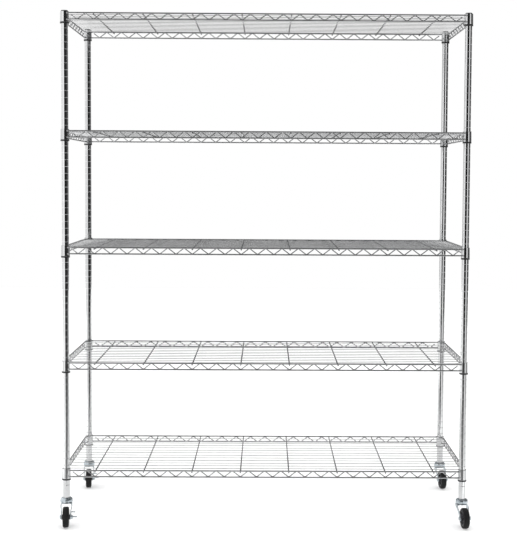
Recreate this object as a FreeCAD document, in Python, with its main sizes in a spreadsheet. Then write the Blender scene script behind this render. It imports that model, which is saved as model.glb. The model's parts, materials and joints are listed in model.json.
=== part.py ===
"""Five-tier chrome wire shelving rack on swivel casters.

Frame: X to the right, Y to the back, Z up.  The origin is on the floor, midway between the
posts across and midway between the outer faces front to back.  Every length is in millimetres
and every angle in degrees.
"""
import FreeCAD, Part
import math
import os
import re

import Sketcher

Vector = FreeCAD.Vector
Rotation = FreeCAD.Rotation

SIZES = {
    # posts
    "post_spacing_x": 1491.0,
    "post_spacing_y": 571.0,
    "post_radius": 12.7,
    "post_wall": 1.2,
    "post_length": 1811.9,
    "groove_pitch": 25.4,
    "groove_depth": 0.5,
    "groove_height": 1.8,
    "groove_count": 70,
    "cap_rise": 4.5,
    "cap_plug_length": 14.0,
    # shelves: heights are those of the top rails' centres
    "lowest_shelf_height": 206.0,
    "lowest_gap_grooves": 16,
    "other_gap_grooves": 17,
    "collar_radius_top": 15.6,
    "collar_radius_bottom": 16.2,
    "collar_ease": 0.6,
    "collar_above": 6.5,
    "collar_below": 32.0,
    "bore_radius_top": 14.2,
    "bore_radius_bottom": 15.0,
    "rail_radius": 2.8,
    "rail_drop": 23.4,
    "rail_outset": 13.2,
    "rail_end_gap": 11.2,
    "truss_radius": 2.0,
    "truss_bend_radius": 5.0,
    "truss_end_gap": 25.0,
    "truss_waves_long": 23,
    "truss_waves_side": 8,
    "cross_radius": 2.5,
    "cross_count": 8,
    "cross_pitch": 182.0,
    "deck_radius": 1.4,
    "deck_count": 13,
    "wire_overlap": 1.5,
    # split sleeves between a post and a collar
    "sleeve_gap": 0.06,
    "sleeve_inner_radius": 12.75,
    "sleeve_bead_drop": 5.2,
    "sleeve_flange_radius": 16.4,
    "sleeve_flange_gap": 0.3,
    "sleeve_flange_height": 5.8,
    "sleeve_half_angle": 176.0,
    "sleeve_relief": 0.3,
    # casters
    "caster_height": 101.6,
    "caster_turn": 6.0,
    "trail": 45.0,
    "wheel_radius": 38.1,
    "tyre_half_width": 11.0,
    "tyre_shoulder": 5.0,
    "tyre_inner_radius": 27.0,
    "hub_half_width": 15.2,
    "axle_radius": 4.0,
    "running_gap": 0.06,
    "cap_radius": 23.0,
    "cap_rim_drop": 16.5,
    "crown_drop": 18.0,
    "fork_sheet": 2.5,
    "fork_half_width": 18.0,
    "fork_flare": 4.0,
    "fork_flare_start": 18.0,
    "fork_leg_radius": 10.0,
    "race_drop": 13.9,
    "race_boss_radius": 14.0,
    "hexagon_radius": 7.4,
    "nut_height": 4.5,
    "lever_gap": 0.3,
    "lever_sheet": 2.0,
    "tab_width": 8.0,
    "tab_sheet": 2.5,
}

SIDES = (("front", -1), ("back", 1))
HANDS = (("left", -1), ("right", 1))
BRAKED_HAND = "left"

doc = FreeCAD.newDocument("wire_shelving_rack")
sheet = doc.addObject("Spreadsheet::Sheet", "Sizes")
for row, (alias, amount) in enumerate(SIZES.items(), start=1):
    sheet.set("A%d" % row, alias)
    sheet.set("B%d" % row, str(amount))
    sheet.setAlias("B%d" % row, alias)
doc.recompute()

nodes = []


def size(text):
    """Put the sheet's name before each alias, so that the text is an expression of the document."""
    return re.sub("[a-z_]+", lambda word: "Sizes." * (word[0] in SIZES) + word[0], text)


def number(text):
    """The value of a size expression."""
    return float(sheet.evalExpression(size(text)))


def bind(thing, path, text):
    thing.setExpression(path, size(text))


def add(kind, name, **bindings):
    """A document object whose properties are bound to size expressions."""
    thing = doc.addObject(kind, name)
    for prop, text in bindings.items():
        bind(thing, prop, text)
    return thing


def move(thing, x="0", y="0", z="0"):
    for axis, text in (("x", x), ("y", y), ("z", z)):
        if text != "0":
            bind(thing, "Placement.Base." + axis, text)
    return thing


def turn(thing, axis, text):
    thing.Placement = FreeCAD.Placement(Vector(), Rotation(axis, number(text)))
    bind(thing, "Placement.Rotation.Angle", text)
    return thing


def group(name, members):
    """Separate solids kept side by side in one object."""
    compound = doc.addObject("Part::Compound", name)
    compound.Links = members
    return compound


def copies(name, master, places):
    """One object that holds a copy of the master at each place, an (x, y, z) of expressions."""
    return group(name, [move(group(name + "_copy", [master]), *place) for place in places])


def node(thing, label):
    """Give a finished piece the label that names its file."""
    thing.Label = label
    nodes.append(thing)
    return thing


def fused(name, *pieces):
    union = doc.addObject("Part::MultiFuse", name)
    union.Shapes = list(pieces)
    return union


def cut(name, base, *tools):
    """Take each tool away from the base."""
    for tool in tools:
        difference = doc.addObject("Part::Cut", name)
        difference.Base = base
        difference.Tool = tool
        base = difference
    return base


def plane_of(body, role):
    return next(item for item in body.Origin.OriginFeatures if item.Role == role)


def outline(body, plane, points, name="outline"):
    """A closed sketch of straight edges on one of the body's own planes.

    Each point is a pair of size expressions, and both of its coordinates are constrained.
    """
    sketch = body.newObject("Sketcher::SketchObject", name)
    sketch.AttachmentSupport = (plane_of(body, plane), [""])
    sketch.MapMode = "FlatFace"
    spots = [Vector(number(across), number(up), 0) for across, up in points]
    for start, end in zip(spots, spots[1:] + spots[:1]):
        sketch.addGeometry(Part.LineSegment(start, end), False)
    for index, (across, up) in enumerate(points):
        following = (index + 1) % len(points)
        sketch.addConstraint(Sketcher.Constraint("Coincident", index, 2, following, 1))
        for kind, text, value in (("DistanceX", across, spots[index].x),
                                  ("DistanceY", up, spots[index].y)):
            constraint = sketch.addConstraint(Sketcher.Constraint(kind, -1, 1, index, 1, value))
            bind(sketch, "Constraints[%d]" % constraint, text)
    return sketch


def new_body(name):
    body = doc.addObject("PartDesign::Body", name)
    body.AllowCompound = True
    return body


def turned(name, points, angle="360"):
    """A body made on a lathe: an outline of (radius, height) points, turned about Z."""
    body = new_body(name)
    sketch = outline(body, "XZ_Plane", points)
    revolution = body.newObject("PartDesign::Revolution", "turned")
    revolution.Profile = sketch
    revolution.ReferenceAxis = (sketch, ["V_Axis"])
    bind(revolution, "Angle", angle)
    return body


def padded(name, plane, points, length):
    """A body cut from plate: an outline of points, as thick as length, centred on its plane."""
    body = new_body(name)
    pad = body.newObject("PartDesign::Pad", "plate")
    pad.Profile = outline(body, plane, points)
    pad.Midplane = True
    bind(pad, "Length", length)
    return body


def rod(name, axis, radius, length, x="0", y="0", z="0"):
    """A straight round wire or pin along X, Y or Z, centred on the given point."""
    cylinder = add("Part::Cylinder", name, Radius=radius, Height=length)
    half = "( " + length + " ) / 2"
    if axis == "X":
        turn(cylinder, Vector(0, 1, 0), "90")
        return move(cylinder, x + " - " + half, y, z)
    if axis == "Y":
        turn(cylinder, Vector(1, 0, 0), "-90")
        return move(cylinder, x, y + " - " + half, z)
    return move(cylinder, x, y, z + " - " + half)


# ---------------------------------------------------------------- places of the posts

# The wheels trail forwards, so the posts stand a little behind the middle of the outer box.
FRONT_REACH = ("( trail + wheel_radius - tyre_shoulder ) * cos( caster_turn * 1 deg ) + "
               "( tyre_half_width - tyre_shoulder ) * sin( caster_turn * 1 deg ) + tyre_shoulder")
POST_SHIFT = "( " + FRONT_REACH + " - cap_radius ) / 2"
CORNERS = [(side + "_" + hand,
            "( %d ) * post_spacing_x / 2" % right,
            "( %d ) * post_spacing_y / 2 + %s" % (back, POST_SHIFT))
           for side, back in SIDES for hand, right in HANDS]
SHELF_COUNT = 5
SHELF_HEIGHTS = ["lowest_shelf_height"] + [
    "lowest_shelf_height + ( lowest_gap_grooves + %d * other_gap_grooves ) * groove_pitch" % steps
    for steps in range(SHELF_COUNT - 1)]


def at_corners(name, master, z="0"):
    return copies(name, master, [(x, y, z) for corner, x, y in CORNERS])


# ---------------------------------------------------------------- posts


def make_post():
    """A tube with a ring groove at every inch; the lowest groove is under the lowest shelf."""
    inner = "post_radius - post_wall"
    post = turned("post", [(inner, "0"), ("post_radius", "0"),
                           ("post_radius", "post_length"), (inner, "post_length")])
    lowest = ("lowest_shelf_height - sleeve_bead_drop - 2 * groove_pitch - caster_height")
    floor_radius = "post_radius - groove_depth"
    sketch = outline(post, "XZ_Plane", [
        ("post_radius + 1", lowest + " - groove_height / 2"),
        ("post_radius + 1", lowest + " + groove_height / 2"),
        ("post_radius", lowest + " + groove_height / 2"),
        (floor_radius, lowest + " + groove_height / 4"),
        (floor_radius, lowest + " - groove_height / 4"),
        ("post_radius", lowest + " - groove_height / 2")], "groove_outline")
    groove = post.newObject("PartDesign::Groove", "ring_groove")
    groove.Profile = sketch
    groove.ReferenceAxis = (sketch, ["V_Axis"])
    groove.Angle = 360
    pattern = post.newObject("PartDesign::LinearPattern", "ring_grooves")
    pattern.Originals = [groove]
    pattern.Direction = (plane_of(post, "Z_Axis"), [""])
    bind(pattern, "Length", "groove_pitch * ( groove_count - 1 )")
    bind(pattern, "Occurrences", "groove_count")
    post.Tip = pattern
    return post


def make_post_cap():
    """A moulded plug: it closes the tube's top and stands a little proud with an eased edge."""
    ease = 1.6
    plug = "post_radius - post_wall - 0.05"
    return turned("post_cap", [
        ("0", "post_length - cap_plug_length"), (plug, "post_length - cap_plug_length"),
        (plug, "post_length"), ("post_radius", "post_length"),
        ("post_radius", "post_length + cap_rise - %s" % ease),
        ("post_radius - %s" % (0.3 * ease), "post_length + cap_rise - %s" % (0.3 * ease)),
        ("post_radius - %s" % ease, "post_length + cap_rise"),
        ("0", "post_length + cap_rise")])


post = make_post()
for corner, x, y in CORNERS:
    node(move(group("post_" + corner, [post]), x, y, "caster_height"), "post_" + corner)
node(at_corners("post_caps", make_post_cap(), "caster_height"), "post_caps")

# ---------------------------------------------------------------- shelf pieces
# Each is drawn with its shelf's top rails at height 0 and about the middle of the four posts.


def make_collar():
    """A tapered corner ring, wider at the bottom inside and out, with eased outer edges."""
    return turned("collar", [
        ("bore_radius_bottom", "-collar_below"), ("collar_radius_bottom - collar_ease", "-collar_below"),
        ("collar_radius_bottom", "collar_ease - collar_below"),
        ("collar_radius_top", "collar_above - collar_ease"),
        ("collar_radius_top - collar_ease", "collar_above"), ("bore_radius_top", "collar_above")])


def make_sleeve():
    """Two half shells: a taper that fills the collar, a flange, and a bead for the groove.

    The taper bears on the collar near both ends and is relieved in between.
    """
    top = "collar_above - 1"
    slope = "( bore_radius_bottom - bore_radius_top ) / ( collar_above + collar_below )"
    bottom_radius = "bore_radius_bottom - sleeve_gap"
    flange_top = "-collar_below - sleeve_flange_gap"
    bead = "-sleeve_bead_drop"

    def taper(height, relief="0"):
        """A point of the outer side, which follows the collar's bore at the sleeve's gap."""
        below = "( collar_above - ( %s ) )" % height
        return "bore_radius_top - sleeve_gap - %s + %s * %s" % (relief, slope, below), height

    half = turned("sleeve_half", [
        ("sleeve_inner_radius", flange_top + " - sleeve_flange_height"),
        ("sleeve_flange_radius - 0.6", flange_top + " - sleeve_flange_height"),
        ("sleeve_flange_radius", flange_top + " - sleeve_flange_height + 0.6"),
        ("sleeve_flange_radius", flange_top),
        (bottom_radius, flange_top), (bottom_radius, "-collar_below"),
        taper("-17"), taper("-16.5", "sleeve_relief"), taper("-8.5", "sleeve_relief"), taper("-8"),
        taper(top),
        ("sleeve_inner_radius", top),
        ("sleeve_inner_radius", bead + " + 0.8"), ("sleeve_inner_radius - 0.5", bead + " + 0.3"),
        ("sleeve_inner_radius - 0.5", bead + " - 0.3"), ("sleeve_inner_radius", bead + " - 0.8"),
    ], "sleeve_half_angle")
    other = turn(group("other_sleeve_half", [half]), Vector(0, 0, 1), "180")
    return group("sleeve", [half, other])


LONG_RAIL_Y = "post_spacing_y / 2 + rail_outset"
SIDE_RAIL_X = "post_spacing_x / 2 + rail_outset"
DECK_Z = "-rail_radius + deck_radius"
DECK_END = "0.7"


def make_rails():
    """The upper and lower wire of each of the four edges."""
    rails = []
    for sign in ("-1", "1"):
        for level in ("0", "-rail_drop"):
            rails.append(rod("long_rail", "X", "rail_radius", "post_spacing_x - 2 * rail_end_gap",
                             y="( %s ) * ( %s )" % (sign, LONG_RAIL_Y), z=level))
            rails.append(rod("side_rail", "Y", "rail_radius", "post_spacing_y - 2 * rail_end_gap",
                             x="( %s ) * ( %s )" % (sign, SIDE_RAIL_X), z=level))
    return group("rails", rails)


def make_cross_wires():
    """Wires from front to back, tangent to the underside of the long rails."""
    count = int(number("cross_count"))
    return group("cross_wires", [
        rod("cross_wire", "Y", "cross_radius", "2 * ( %s + rail_radius - 0.4 )" % LONG_RAIL_Y,
            x="( %s ) * cross_pitch" % (index - (count - 1) / 2),
            z="-rail_radius - cross_radius")
        for index in range(count)])


def make_deck_wires():
    """Thin lengthwise wires that lie on the cross wires and end on the side rails."""
    count = int(number("deck_count"))
    pitch = "2 * ( %s ) / ( deck_count + 1 )" % LONG_RAIL_Y
    length = "2 * ( %s - rail_radius + %s )" % (SIDE_RAIL_X, DECK_END)
    return group("deck_wires", [
        rod("deck_wire", "X", "deck_radius", length,
            y="( %s ) * %s" % (index - (count - 1) / 2, pitch), z=DECK_Z)
        for index in range(count)])


def zigzag(half_pitch, height, bend, waves, reach):
    """The centre line of a bent wire: straight legs joined by arcs, symmetric about its middle.

    It lies in XZ, has a lower bend at each end of its waves, and its last legs rise until reach.
    """
    spare = 2 * bend - height
    slope = math.asin(2 * bend / math.hypot(half_pitch, spare)) - math.atan2(spare, half_pitch)
    run = bend * math.sin(slope)
    rise = bend * (1 - math.cos(slope))
    first = -half_pitch * waves
    end_rise = rise + (reach + first - run) * math.tan(slope)
    start = Vector(-reach, 0, end_rise)
    edges = []
    for index in range(2 * waves + 1):
        middle = first + index * half_pitch
        side = 1 if index % 2 == 0 else -1
        level = 0 if side > 0 else height
        before = Vector(middle - run, 0, level + side * rise)
        after = Vector(middle + run, 0, level + side * rise)
        edges.append(Part.LineSegment(start, before).toShape())
        edges.append(Part.Arc(before, Vector(middle, 0, level), after).toShape())
        start = after
    edges.append(Part.LineSegment(start, Vector(reach, 0, end_rise)).toShape())
    return Part.Wire(edges)


def bent_wire(name, line):
    """A round wire swept along a centre line that starts with a straight leg."""
    path = doc.addObject("Part::Feature", name + "_line")
    path.Shape = line
    section = add("Part::Circle", name + "_section", Radius="truss_radius")
    leg = line.OrderedEdges[0]
    along = leg.tangentAt(leg.FirstParameter)
    section.Placement = FreeCAD.Placement(line.OrderedVertexes[0].Point,
                                          Rotation(Vector(0, 0, 1), along))
    sweep = doc.addObject("Part::Sweep", name)
    sweep.Sections = [section]
    sweep.Spine = (path, ["Edge%d" % (index + 1) for index in range(len(line.Edges))])
    sweep.Solid = True
    sweep.Frenet = False
    return sweep


def make_trusses():
    """The zigzag wires: inside the long rails, and between the side rails in their own plane."""
    bend = number("truss_bend_radius")
    touch = number("rail_radius + truss_radius")
    # The long wire's bends reach past the rails' centres by less than this, and touch them.
    overlap = number("wire_overlap")
    inset = math.sqrt(touch ** 2 - overlap ** 2)
    drop = number("rail_drop")
    third = number("cross_pitch / 3")
    long_wire = bent_wire("long_truss", zigzag(
        third / 2, drop - 2 * overlap, bend, int(number("truss_waves_long")),
        number("post_spacing_x / 2 - truss_end_gap")))
    waves = int(number("truss_waves_side"))
    side_reach = number("post_spacing_y / 2 - truss_end_gap")
    side_wire = bent_wire("side_truss", zigzag(
        side_reach / (waves + 0.75), drop - 2 * touch, bend, waves, side_reach))
    pieces = []
    for sign in (-1, 1):
        pieces.append(move(group("long_truss_copy", [long_wire]),
                           y="( %d ) * ( %s - %s )" % (sign, LONG_RAIL_Y, inset),
                           z="wire_overlap - rail_drop"))
        side = turn(group("side_truss_copy", [side_wire]), Vector(0, 0, 1), "90")
        pieces.append(move(side, x="( %d ) * ( %s )" % (sign, SIDE_RAIL_X),
                           z="rail_radius + truss_radius - rail_drop"))
    return group("trusses", pieces)


PIECES_ABOUT_MIDDLE = {"rails": make_rails(), "truss_wires": make_trusses(),
                       "cross_wires": make_cross_wires(), "deck_wires": make_deck_wires()}
COLLARS = at_corners("collars", make_collar())
SLEEVES = at_corners("sleeves", make_sleeve())

for shelf, height in enumerate(SHELF_HEIGHTS, start=1):
    for piece, master in PIECES_ABOUT_MIDDLE.items():
        label = "shelf_%d_%s" % (shelf, piece)
        node(move(group(label, [master]), y=POST_SHIFT, z=height), label)
    for piece, master in (("shelf_%d_collars", COLLARS), ("sleeves_%d", SLEEVES)):
        node(move(group(piece % shelf, [master]), z=height), piece % shelf)

# ---------------------------------------------------------------- casters
# Each is drawn about its own upright stem, with the floor at 0 and its wheel trailing to -Y.

BALL_COUNT = 12
BALL_RADIUS = "2.4"
BALL_RING_RADIUS = 10.5
RACE_GAP = "0.05"
LOWER_RACE = "caster_height - race_drop"
UPPER_RACE = LOWER_RACE + " + 2 * ( %s + %s )" % (BALL_RADIUS, RACE_GAP)
CROWN_TOP = "caster_height - crown_drop"
NECK_RADIUS = "6"


def make_insert():
    """A threaded plug in the post's lower end, for the caster's stem."""
    return turned("insert", [
        ("5", "caster_height"), ("post_radius - post_wall - 0.03", "caster_height"),
        ("post_radius - post_wall - 0.03", "caster_height + 25"), ("5", "caster_height + 25")])


def make_stem():
    """The fixed stem: a screw, a flange that is the upper race, and a riveted neck."""
    return turned("stem", [
        ("0", CROWN_TOP + " - fork_sheet - 3.1"), ("8", CROWN_TOP + " - fork_sheet - 3.1"),
        ("9", CROWN_TOP + " - fork_sheet - 2"), ("9", CROWN_TOP + " - fork_sheet - 0.3"),
        (NECK_RADIUS, CROWN_TOP + " - fork_sheet - 0.3"), (NECK_RADIUS, UPPER_RACE),
        ("16", UPPER_RACE), ("16", UPPER_RACE + " + 3"), ("4.95", UPPER_RACE + " + 3"),
        ("4.95", "caster_height + 33"), ("0", "caster_height + 33")])


def make_race_cap():
    """A pressed dome that covers the ball ring."""
    shell = 2
    return turned("race_cap", [
        ("5", "caster_height"), ("cap_radius - 6", "caster_height"),
        ("cap_radius - 2", "caster_height - 1.5"), ("cap_radius", "caster_height - 6"),
        ("cap_radius", "caster_height - cap_rim_drop"),
        ("cap_radius - %d" % shell, "caster_height - cap_rim_drop"),
        ("cap_radius - %d" % shell, "caster_height - 6.5"),
        ("cap_radius - 3.4", "caster_height - 3.2"),
        ("cap_radius - 6.5", "caster_height - %d" % shell), ("5", "caster_height - %d" % shell)])


def make_balls():
    balls = []
    for index in range(BALL_COUNT):
        angle = 2 * math.pi * index / BALL_COUNT
        ball = add("Part::Sphere", "ball", Radius=BALL_RADIUS)
        ball.Placement.Base = Vector(BALL_RING_RADIUS * math.cos(angle),
                                     BALL_RING_RADIUS * math.sin(angle), 0)
        balls.append(move(ball, z=LOWER_RACE + " + %s + %s" % (BALL_RADIUS, RACE_GAP)))
    return group("ball_ring", balls)


def make_fork():
    """A bent sheet: a crown on the stem's neck and two legs that narrow towards the axle."""
    inside = "fork_half_width - fork_sheet"
    right = [("fork_half_width", "wheel_radius - fork_leg_radius"),
             ("fork_half_width", "wheel_radius + fork_flare_start"),
             ("fork_half_width + fork_flare", CROWN_TOP + " - 10"),
             ("fork_half_width + fork_flare - 0.8", CROWN_TOP + " - 4.5"),
             ("fork_half_width + fork_flare - 3", CROWN_TOP + " - 1.2"),
             ("fork_half_width + fork_flare - 6.5", CROWN_TOP)]
    inner = [(inside + " + fork_flare - 6.8", CROWN_TOP + " - fork_sheet"),
             (inside + " + fork_flare - 3.6", CROWN_TOP + " - fork_sheet - 1"),
             (inside + " + fork_flare - 1", CROWN_TOP + " - 10"),
             (inside, "wheel_radius + fork_flare_start + 0.4"),
             (inside, "wheel_radius - fork_leg_radius")]

    def mirrored(points):
        return [("-( %s )" % across, up) for across, up in reversed(points)]

    front_view = padded("fork_front_view", "XZ_Plane", right + mirrored(right)
                        + [("-( %s )" % across, up) for across, up in reversed(inner)]
                        + inner, "120")
    side_view = padded("fork_side_view", "YZ_Plane", [
        ("19", CROWN_TOP + " + 1"), ("19", CROWN_TOP + " - 7"),
        ("8.2 - trail", "wheel_radius - 5.7"), ("-8.6 - trail", "wheel_radius + 5.1"),
        ("-22", CROWN_TOP + " - 6"), ("-22", CROWN_TOP + " + 1")], "60")
    leg_end = rod("fork_leg_end", "X", "fork_leg_radius", "60", y="-trail", z="wheel_radius")
    blank = doc.addObject("Part::MultiCommon", "fork_blank")
    blank.Shapes = [front_view, fused("fork_side", side_view, leg_end)]
    boss = rod("fork_race", "Z", "race_boss_radius", LOWER_RACE + " - ( %s ) + 1" % CROWN_TOP,
               z="( %s + %s - 1 ) / 2" % (LOWER_RACE, CROWN_TOP))
    return cut("fork", fused("fork_solid", blank, boss),
               rod("fork_neck_hole", "Z", NECK_RADIUS + " + running_gap", "60", z=CROWN_TOP),
               rod("fork_axle_hole", "X", "axle_radius", "60", y="-trail", z="wheel_radius"))


def make_axle(name, nut_start):
    """A hexagon-headed bolt through both legs, and its nut."""
    end = nut_start + " + nut_height + 1"
    shank = rod("bolt_shank", "X", "axle_radius", "fork_half_width + " + end,
                x="( %s - fork_half_width ) / 2" % end, y="-trail", z="wheel_radius")
    hexagons = []
    for piece, start in (("bolt_head", "-fork_half_width - nut_height"), ("nut_blank", nut_start)):
        prism = add("Part::Prism", piece, Circumradius="hexagon_radius", Height="nut_height")
        prism.Polygon = 6
        turn(prism, Vector(0, 1, 0), "90")
        hexagons.append(move(prism, start, "-trail", "wheel_radius"))
    bolt = fused("bolt", hexagons[0], shank)
    thread = rod("nut_thread", "X", "axle_radius", "80", y="-trail", z="wheel_radius")
    return group(name, [bolt, cut("nut", hexagons[1], thread)])


def about_axle(name, body):
    """Lay a turned piece on the axle."""
    laid = turn(group(name, [body]), Vector(0, 1, 0), "90")
    return move(laid, y="-trail", z="wheel_radius")


def make_wheel_core():
    """A moulded wheel centre: hub, web and rim."""
    right = [("tyre_inner_radius", "tyre_half_width - 1"),
             ("tyre_inner_radius - 3", "tyre_half_width - 1"),
             ("tyre_inner_radius - 4", "3"), ("10.5", "3"), ("9.5", "hub_half_width"),
             ("axle_radius + running_gap", "hub_half_width")]
    left = [(radius, "-( %s )" % across) for radius, across in reversed(right)]
    return about_axle("wheel_core", turned("wheel_core_body", right + left))


def make_tyre():
    """A rubber tyre with rounded shoulders."""
    rim = "wheel_radius - tyre_shoulder"
    side = "tyre_half_width - tyre_shoulder"
    right = [("tyre_inner_radius", "tyre_half_width")]
    for degrees in range(0, 91, 15):
        angle = math.radians(degrees)
        right.append((rim + " + tyre_shoulder * %.6f" % math.sin(angle),
                      side + " + tyre_shoulder * %.6f" % math.cos(angle)))
    left = [(radius, "-( %s )" % across) for radius, across in reversed(right)]
    return about_axle("tyre", turned("tyre_body", right + left))


def make_brake_lever():
    """A rocking plate outside the fork leg, with two finger tabs."""
    inner = "fork_half_width + lever_gap"
    middle = inner + " + lever_sheet / 2"
    plate = move(padded("lever_plate", "YZ_Plane", [
        ("7 - trail", "wheel_radius - 3"), ("6 - trail", "wheel_radius + 6"),
        ("-6 - trail", "wheel_radius + 23"), ("-14 - trail", "wheel_radius + 23"),
        ("-21 - trail", "wheel_radius + 17"), ("-29 - trail", "wheel_radius + 9.5"),
        ("-29 - trail", "wheel_radius + 4"), ("-8 - trail", "wheel_radius - 5"),
        ("0 - trail", "wheel_radius - 8")], "lever_sheet"), x=middle)
    tabs = []
    for along, up, reach in (("-14", "20.5", "15"), ("-29", "6.5", "22")):
        tab = add("Part::Box", "finger_tab", Length="lever_sheet + " + reach, Width="tab_width",
                  Height="tab_sheet")
        tabs.append(move(tab, inner, along + " - trail", "wheel_radius + " + up))
    hole = rod("lever_hole", "X", "axle_radius + running_gap", "80", y="-trail", z="wheel_radius")
    return cut("brake_lever", fused("lever_solid", plate, *tabs), hole)


node(at_corners("caster_inserts", make_insert()), "caster_inserts")
node(at_corners("caster_stems", make_stem()), "caster_stems")
node(at_corners("caster_race_caps", make_race_cap()), "caster_race_caps")
node(at_corners("caster_balls", make_balls()), "caster_balls")

PLAIN_AXLE = make_axle("plain_axle", "fork_half_width")
BRAKED_AXLE = make_axle("braked_axle", "fork_half_width + 2 * lever_gap + lever_sheet")
CASTER_PIECES = {"fork": make_fork(), "wheel_core": make_wheel_core(), "tyre": make_tyre()}
BRAKE_LEVER = make_brake_lever()

for corner, x, y in CORNERS:
    pieces = dict(CASTER_PIECES, axle=PLAIN_AXLE)
    if corner.endswith(BRAKED_HAND):
        pieces.update(axle=BRAKED_AXLE, brake_lever=BRAKE_LEVER)
    for piece, master in pieces.items():
        label = "caster_%s_%s" % (corner, piece)
        placed = turn(group(label, [master]), Vector(0, 0, 1), "caster_turn")
        node(move(placed, x, y), label)

# ---------------------------------------------------------------- check and write

doc.recompute()
for thing in doc.Objects:
    if "Invalid" in thing.State or "Error" in thing.State:
        raise RuntimeError("%s (%s) failed: %s" % (thing.Label, thing.Name, thing.State))
os.makedirs("parts", exist_ok=True)
box = FreeCAD.BoundBox()
for thing in nodes:
    shape = thing.Shape
    if shape.isNull() or not shape.isValid() or not shape.Solids:
        raise RuntimeError("%s has no valid solid" % thing.Label)
    box.add(shape.BoundBox)
    shape.exportStep("parts/%s.step" % thing.Label)
    print("%-34s %3d solids %12.1f mm3" % (thing.Label, len(shape.Solids), shape.Volume))
print("%d nodes, box X %.2f %.2f  Y %.2f %.2f  Z %.2f %.2f"
      % (len(nodes), box.XMin, box.XMax, box.YMin, box.YMax, box.ZMin, box.ZMax))
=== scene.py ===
"""A chrome wire shelving rack on casters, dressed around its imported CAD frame.

Everything is in metres.  X is to the right, Y to the back and Z up.
"""

import json
import math

import bmesh
import bpy
from mathutils import Matrix, Vector

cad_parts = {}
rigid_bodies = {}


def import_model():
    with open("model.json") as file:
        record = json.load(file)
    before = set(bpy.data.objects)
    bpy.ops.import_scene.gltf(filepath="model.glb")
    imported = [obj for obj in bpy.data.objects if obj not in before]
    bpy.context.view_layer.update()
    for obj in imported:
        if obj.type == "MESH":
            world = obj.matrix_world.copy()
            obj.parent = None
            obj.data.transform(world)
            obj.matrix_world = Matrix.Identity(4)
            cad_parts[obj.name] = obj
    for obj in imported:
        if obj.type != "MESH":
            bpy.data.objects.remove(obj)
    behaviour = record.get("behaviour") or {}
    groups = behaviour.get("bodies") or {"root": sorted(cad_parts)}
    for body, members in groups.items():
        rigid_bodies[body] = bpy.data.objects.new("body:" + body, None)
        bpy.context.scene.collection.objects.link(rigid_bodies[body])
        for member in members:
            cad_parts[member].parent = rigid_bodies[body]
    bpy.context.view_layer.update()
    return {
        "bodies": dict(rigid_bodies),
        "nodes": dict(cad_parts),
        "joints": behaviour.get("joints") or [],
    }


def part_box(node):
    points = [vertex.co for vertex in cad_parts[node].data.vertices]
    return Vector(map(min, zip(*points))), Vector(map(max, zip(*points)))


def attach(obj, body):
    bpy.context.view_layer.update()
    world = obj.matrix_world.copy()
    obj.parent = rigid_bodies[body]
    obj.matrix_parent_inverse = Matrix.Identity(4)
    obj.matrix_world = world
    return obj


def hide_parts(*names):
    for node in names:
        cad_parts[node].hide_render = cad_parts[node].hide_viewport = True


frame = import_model()

MM = 0.001
UP = Vector((0, 0, 1))

SHELVES = range(1, 6)
CORNERS = ["front_left", "front_right", "back_left", "back_right"]

# ------------------------------------------------------------------ places read from the frame


def box(node):
    low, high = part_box(node)
    return Vector(low), Vector(high)


def middle(node):
    low, high = box(node)
    return (low + high) / 2


def joint(name):
    return next(item for item in frame["joints"] if item["name"] == name)


POSTS = {corner: middle("post_" + corner) for corner in CORNERS}
POST_LOW, POST_HIGH = box("post_front_left")
POST_RADIUS = (POST_HIGH.x - POST_LOW.x) / 2
CENTRE_X = (POSTS["front_left"].x + POSTS["front_right"].x) / 2
CENTRE_Y = (POSTS["front_left"].y + POSTS["back_left"].y) / 2
HALF_X = (POSTS["front_right"].x - POSTS["front_left"].x) / 2
HALF_Y = (POSTS["back_left"].y - POSTS["front_left"].y) / 2

RAIL_RADIUS = 2.8 * MM
RAIL_DROP = 23.4 * MM
TRUSS_RADIUS = 2 * MM
CROSS_RADIUS = 2.5 * MM
DECK_RADIUS = 1.4 * MM
# Height of the centre of each shelf's upper rails, and how far the rails stand out from the posts.
RAIL_Z = {shelf: box("shelf_%d_rails" % shelf)[1].z - RAIL_RADIUS for shelf in SHELVES}
RAIL_OUT = box("shelf_1_rails")[1].x - RAIL_RADIUS - CENTRE_X - HALF_X

# ------------------------------------------------------------------ materials


def new_material(name, colour, metallic, roughness):
    """A Principled material and its nodes. Values that never vary sit on the shader's sockets."""
    material = bpy.data.materials.new(name)
    material.use_nodes = True
    shader = material.node_tree.nodes["Principled BSDF"]
    shader.inputs["Base Color"].default_value = (*colour, 1)
    shader.inputs["Metallic"].default_value = metallic
    shader.inputs["Roughness"].default_value = roughness
    return material, material.node_tree, shader


def add_node(tree, kind, **values):
    node = tree.nodes.new(kind)
    for key, value in values.items():
        if key in node.inputs:
            node.inputs[key].default_value = value
        else:
            setattr(node, key, value)
    return node


def noise(tree, scale, detail, stretch=(1, 1, 1)):
    """A noise value over the object's own coordinates, whose pattern may be stretched."""
    place = add_node(tree, "ShaderNodeTexCoord")
    mapping = add_node(tree, "ShaderNodeMapping")
    mapping.inputs["Scale"].default_value = stretch
    pattern = add_node(tree, "ShaderNodeTexNoise", Scale=scale, Detail=detail)
    tree.links.new(place.outputs["Object"], mapping.inputs["Vector"])
    tree.links.new(mapping.outputs["Vector"], pattern.inputs["Vector"])
    return pattern.outputs["Fac"]


# A noise value seldom leaves this middle part of its range.
NOISE_LOW = 0.3
NOISE_HIGH = 0.7


def ranged(tree, value, low, high):
    """Spread the middle of a noise value over the range from low to high."""
    widened = add_node(tree, "ShaderNodeMapRange")
    for socket, amount in (("From Min", NOISE_LOW), ("From Max", NOISE_HIGH), ("To Min", low),
                           ("To Max", high)):
        widened.inputs[socket].default_value = amount
    tree.links.new(value, widened.inputs["Value"])
    return widened.outputs["Result"]


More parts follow.
